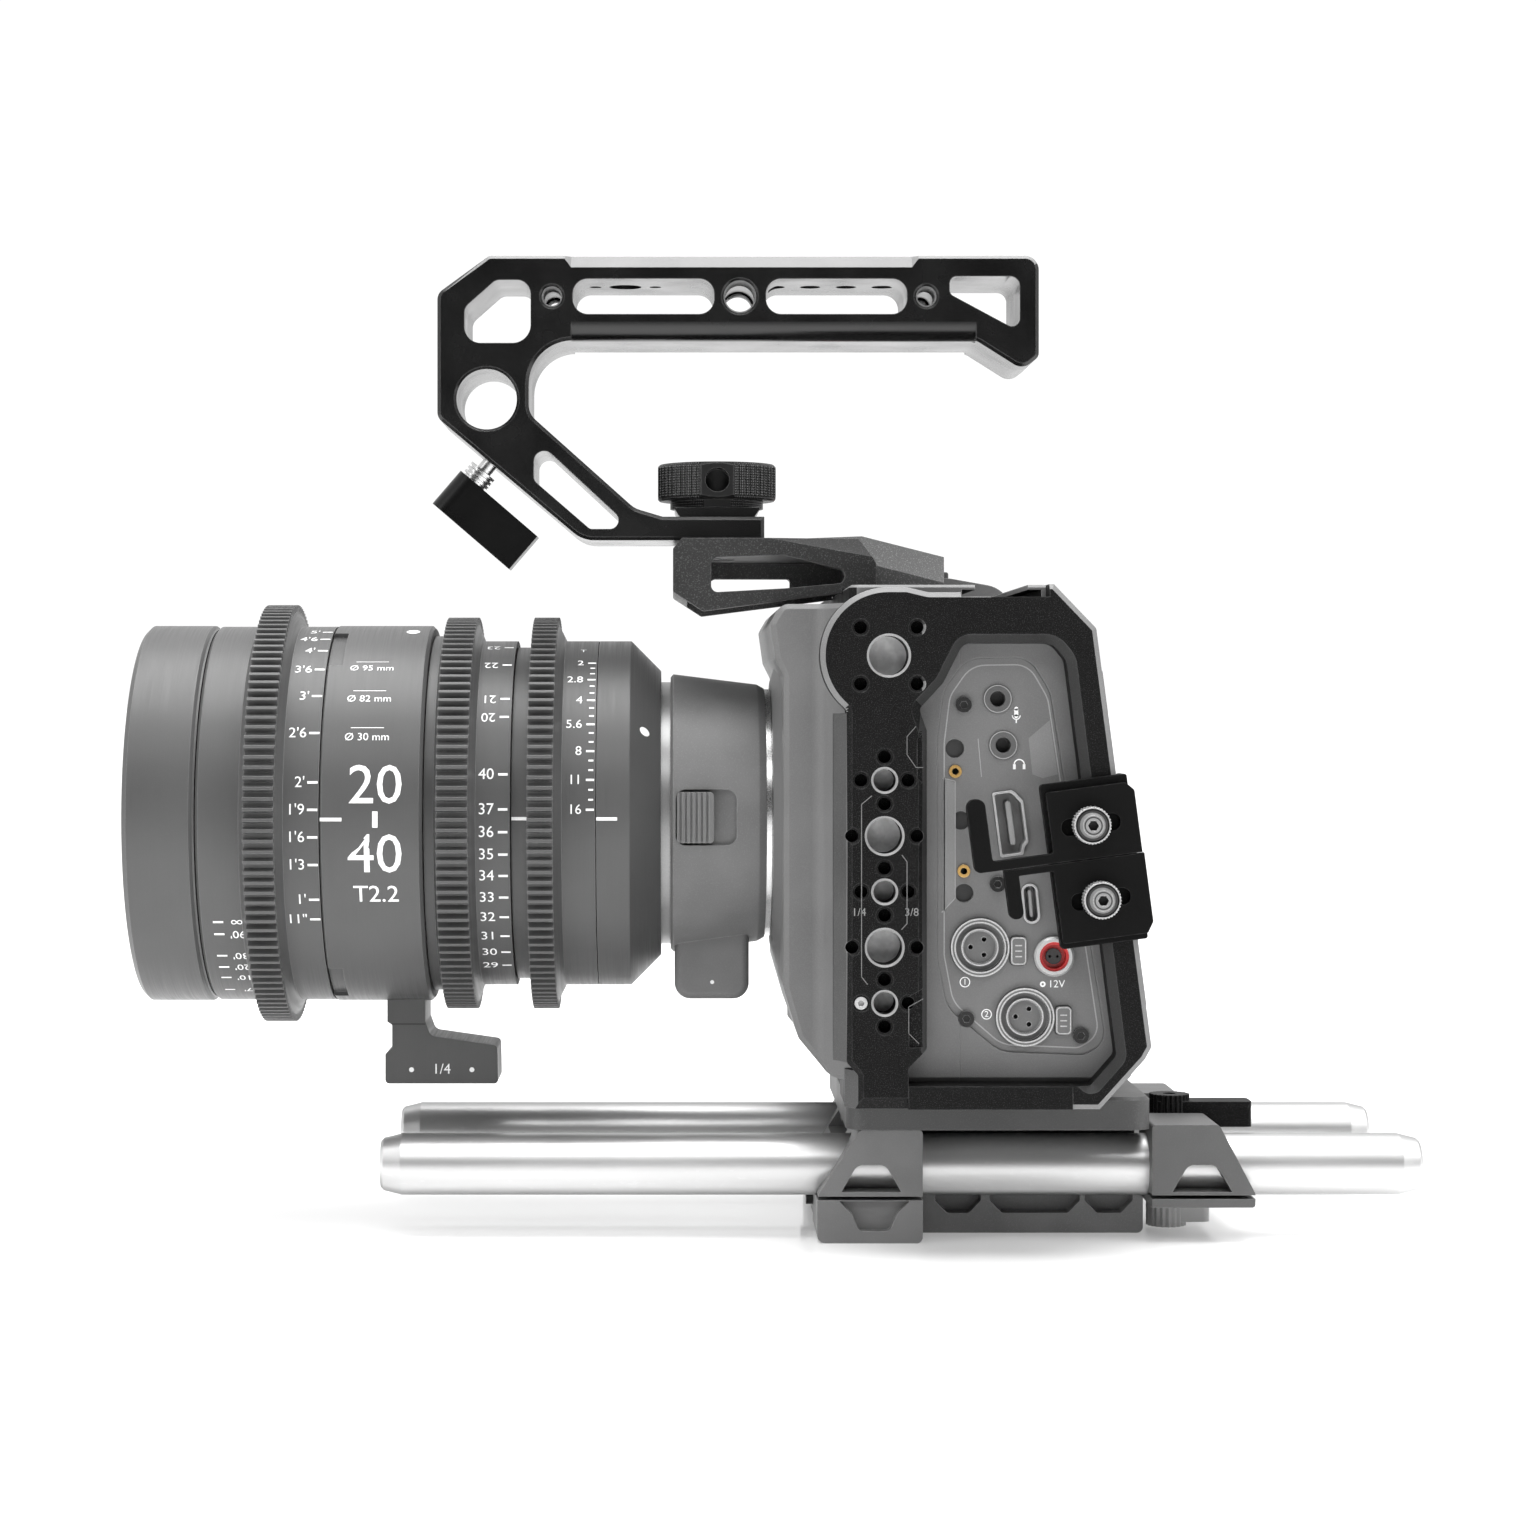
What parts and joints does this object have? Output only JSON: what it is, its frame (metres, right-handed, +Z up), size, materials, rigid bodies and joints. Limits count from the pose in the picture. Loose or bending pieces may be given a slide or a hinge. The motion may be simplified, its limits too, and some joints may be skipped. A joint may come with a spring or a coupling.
{
  "type": "cinema camera rig",
  "caption": "Cinema camera rig: box camera in a half cage with a zoom cine lens on a mount adapter, a top handle on a raised bridge and a sliding base on two 15 mm rods.",
  "frame": {"origin": "mouth of the 3/8 tripod thread, in the middle of the underside of the base plate", "axes": "+X from the lens to the back of the camera, +Y to the right of the camera as its operator stands behind it, +Z up"},
  "size_m": [0.315, 0.1923, 0.242],
  "materials": {
    "grey_alloy": "hard anodised, mid grey, satin",
    "black_alloy": "hard anodised, black, fine bead-blast",
    "lens_alloy": "anodised, dark grey, satin",
    "pale_alloy": "clear anodised",
    "steel_screw": "black oxide",
    "bright_steel": "machined and polished",
    "rod_steel": "fine ground, bright",
    "camera_plastic": "carbon-filled plastic, fine texture",
    "panel_plastic": "soft matt",
    "black_plastic": "satin",
    "red_plastic": "gloss",
    "grip_rubber": "pebbled",
    "socket_metal": "nickel plated",
    "board": "solder-masked circuit board",
    "screen_glass": "gloss cover glass",
    "optical_glass": "coated optical glass",
    "lens_cell": "black anodised cell round a glass element",
    "blade_steel": "blackened spring steel"
  },
  "bodies": {
    "base": {"base_plate": "grey_alloy", "slide_rail": "grey_alloy", "front_rod_clamp": "grey_alloy", "rear_rod_clamp": "grey_alloy", "base_screws": "steel_screw"},
    "rod_left": {"rod_left": "rod_steel"},
    "rod_right": {"rod_right": "rod_steel"},
    "sled_lock_lever": {"sled_lock_lever": "black_alloy"},
    "rod_clamp_lever": {"rod_clamp_lever": "pale_alloy"},
    "camera_sled": {"sled": "grey_alloy", "cage_side_plate": "black_alloy", "cage_bottom_plate": "black_alloy", "cage_top_plate": "black_alloy", "cage_screws": "steel_screw", "top_bridge": "grey_alloy", "clamp_base": "black_alloy", "top_handle": "black_alloy", "handle_wedge": "black_alloy", "camera_front_shell": "camera_plastic", "camera_rear_shell": "camera_plastic", "grip_cover": "grip_rubber", "port_panel": "panel_plastic", "port_sockets": "socket_metal", "dc_socket": "bright_steel", "audio_sockets": "black_plastic", "panel_fasteners": "steel_screw", "lens_mount_ring": "bright_steel", "circuit_boards": "board", "battery": "black_plastic", "adapter_body": "grey_alloy", "adapter_flanges": "bright_steel", "lens_front_barrel": "lens_alloy", "lens_rear_barrel": "lens_alloy", "lens_centre_barrel": "lens_alloy", "lens_bayonet": "bright_steel", "lens_foot": "lens_alloy", "fixed_elements": "optical_glass"},
    "screen": {"screen_frame": "black_plastic", "screen_glass": "screen_glass"},
    "hdmi_clamp": {"hdmi_clamp": "black_alloy"},
    "usb_clamp": {"usb_clamp": "black_alloy"},
    "hdmi_clamp_screw": {"hdmi_clamp_screw": "bright_steel"},
    "usb_clamp_screw": {"usb_clamp_screw": "bright_steel"},
    "handle_knob": {"handle_knob": "black_alloy"},
    "handle_clamp_lever": {"handle_clamp_lever": "black_alloy"},
    "audio_tab_upper": {"audio_tab_upper": "black_plastic"},
    "audio_tab_lower": {"audio_tab_lower": "black_plastic"},
    "fan_rotor": {"fan_rotor": "black_plastic"},
    "battery_door": {"battery_door": "camera_plastic"},
    "record_button": {"record_button": "red_plastic"},
    "iso_button": {"iso_button": "black_plastic"},
    "shutter_button": {"shutter_button": "black_plastic"},
    "control_wheel": {"control_wheel": "black_plastic"},
    "adapter_slider": {"adapter_slider": "black_plastic"},
    "focus_ring": {"focus_ring": "lens_alloy"},
    "zoom_ring": {"zoom_ring": "lens_alloy"},
    "iris_ring": {"iris_ring": "lens_alloy"},
    "focus_group": {"focus_group": "lens_cell"},
    "zoom_group": {"zoom_group": "lens_cell"},
    "iris_diaphragm": {"iris_diaphragm": "blade_steel"}
  },
  "joints": [
    {"name": "sled_slide", "type": "slide", "parent": "base", "child": "camera_sled", "axis": [1, 0, 0], "range_m": [-0.02, 0]},
    {"name": "rod_left_slide", "type": "slide", "parent": "base", "child": "rod_left", "axis": [1, 0, 0], "range_m": [-0.02, 0.02]},
    {"name": "rod_right_slide", "type": "slide", "parent": "base", "child": "rod_right", "axis": [1, 0, 0], "range_m": [-0.02, 0.02]},
    {"name": "sled_lock", "type": "hinge", "parent": "base", "child": "sled_lock_lever", "pos_m": [0.0365, -0.014, 0.028], "axis": [0, 0, 1], "range_deg": [0, 70]},
    {"name": "rod_clamp", "type": "hinge", "parent": "base", "child": "rod_clamp_lever", "pos_m": [0.0352, -0.017, 0.004], "axis": [0, 0, 1], "range_deg": [-75, 75]},
    {"name": "hdmi_clamp_slide", "type": "slide", "parent": "camera_sled", "child": "hdmi_clamp", "axis": [0.9914, 0, 0.1305], "range_m": [-0.0045, 0.0045]},
    {"name": "hdmi_clamp_screw_turn", "type": "hinge", "parent": "camera_sled", "child": "hdmi_clamp_screw", "pos_m": [0.00906, -0.073, 0.10223], "axis": [0, -1, 0], "continuous": true},
    {"name": "usb_clamp_slide", "type": "slide", "parent": "camera_sled", "child": "usb_clamp", "axis": [0.9914, 0, 0.1305], "range_m": [-0.0045, 0.0045]},
    {"name": "usb_clamp_screw_turn", "type": "hinge", "parent": "camera_sled", "child": "usb_clamp_screw", "pos_m": [0.01134, -0.073, 0.08497], "axis": [0, -1, 0], "continuous": true},
    {"name": "handle_knob_turn", "type": "hinge", "parent": "camera_sled", "child": "handle_knob", "pos_m": [-0.0765, 0, 0.186], "axis": [0, 0, 1], "continuous": true},
    {"name": "handle_lever_turn", "type": "hinge", "parent": "camera_sled", "child": "handle_clamp_lever", "pos_m": [-0.1354, 0, 0.1897], "axis": [-0.6521, 0, -0.7581], "continuous": true},
    {"name": "audio_tab_upper_push", "type": "slide", "parent": "camera_sled", "child": "audio_tab_upper", "axis": [0, 1, 0], "range_m": [0, 0.001]},
    {"name": "audio_tab_lower_push", "type": "slide", "parent": "camera_sled", "child": "audio_tab_lower", "axis": [0, 1, 0], "range_m": [0, 0.001]},
    {"name": "fan_spin", "type": "hinge", "parent": "camera_sled", "child": "fan_rotor", "pos_m": [-0.008, 0.02, 0.09], "axis": [1, 0, 0], "continuous": true},
    {"name": "battery_door_open", "type": "hinge", "parent": "camera_sled", "child": "battery_door", "pos_m": [0.0048, 0.088, 0.041], "axis": [0, -1, 0], "range_deg": [0, 100], "stiffness_Nm_per_rad": 0.05, "springref_deg": -11.46},
    {"name": "screen_tilt", "type": "hinge", "parent": "camera_sled", "child": "screen", "pos_m": [0.01409, 0.004, 0.1385], "axis": [0, -1, 0], "range_deg": [0, 75]},
    {"name": "record_button_push", "type": "slide", "parent": "camera_sled", "child": "record_button", "axis": [0, 0, -1], "range_m": [0, 0.001]},
    {"name": "iso_button_push", "type": "slide", "parent": "camera_sled", "child": "iso_button", "axis": [0, 0, -1], "range_m": [0, 0.001]},
    {"name": "shutter_button_push", "type": "slide", "parent": "camera_sled", "child": "shutter_button", "axis": [0, 0, -1], "range_m": [0, 0.001]},
    {"name": "control_wheel_turn", "type": "hinge", "parent": "camera_sled", "child": "control_wheel", "pos_m": [-0.0485, 0.088, 0.148], "axis": [0, 1, 0], "continuous": true},
    {"name": "adapter_release", "type": "slide", "parent": "camera_sled", "child": "adapter_slider", "axis": [1, 0, 0], "range_m": [0, 0.0042]},
    {"name": "focus_turn", "type": "hinge", "parent": "camera_sled", "child": "focus_ring", "pos_m": [-0.1902, 0, 0.1025], "axis": [1, 0, 0], "range_deg": [-90, 90]},
    {"name": "zoom_turn", "type": "hinge", "parent": "camera_sled", "child": "zoom_ring", "pos_m": [-0.1444, 0, 0.1025], "axis": [1, 0, 0], "range_deg": [-80, 80]},
    {"name": "iris_turn", "type": "hinge", "parent": "camera_sled", "child": "iris_ring", "pos_m": [-0.1228, 0, 0.1025], "axis": [1, 0, 0], "range_deg": [-30, 30]},
    {"name": "focus_group_slide", "type": "slide", "parent": "camera_sled", "child": "focus_group", "axis": [1, 0, 0], "range_m": [-0.0031, 0.0031]},
    {"name": "zoom_group_slide", "type": "slide", "parent": "camera_sled", "child": "zoom_group", "axis": [1, 0, 0], "range_m": [-0.0081, 0.0081]},
    {"name": "diaphragm_turn", "type": "hinge", "parent": "camera_sled", "child": "iris_diaphragm", "pos_m": [-0.115, 0, 0.1025], "axis": [1, 0, 0], "range_deg": [-30.5, 30.5]}
  ],
  "couplings": [
    {"joint": "focus_group_slide", "follows": "focus_turn", "m_per_rad": 0.0019099},
    {"joint": "zoom_group_slide", "follows": "zoom_turn", "m_per_rad": 0.0057296},
    {"joint": "diaphragm_turn", "follows": "iris_turn", "ratio": 1}
  ]
}
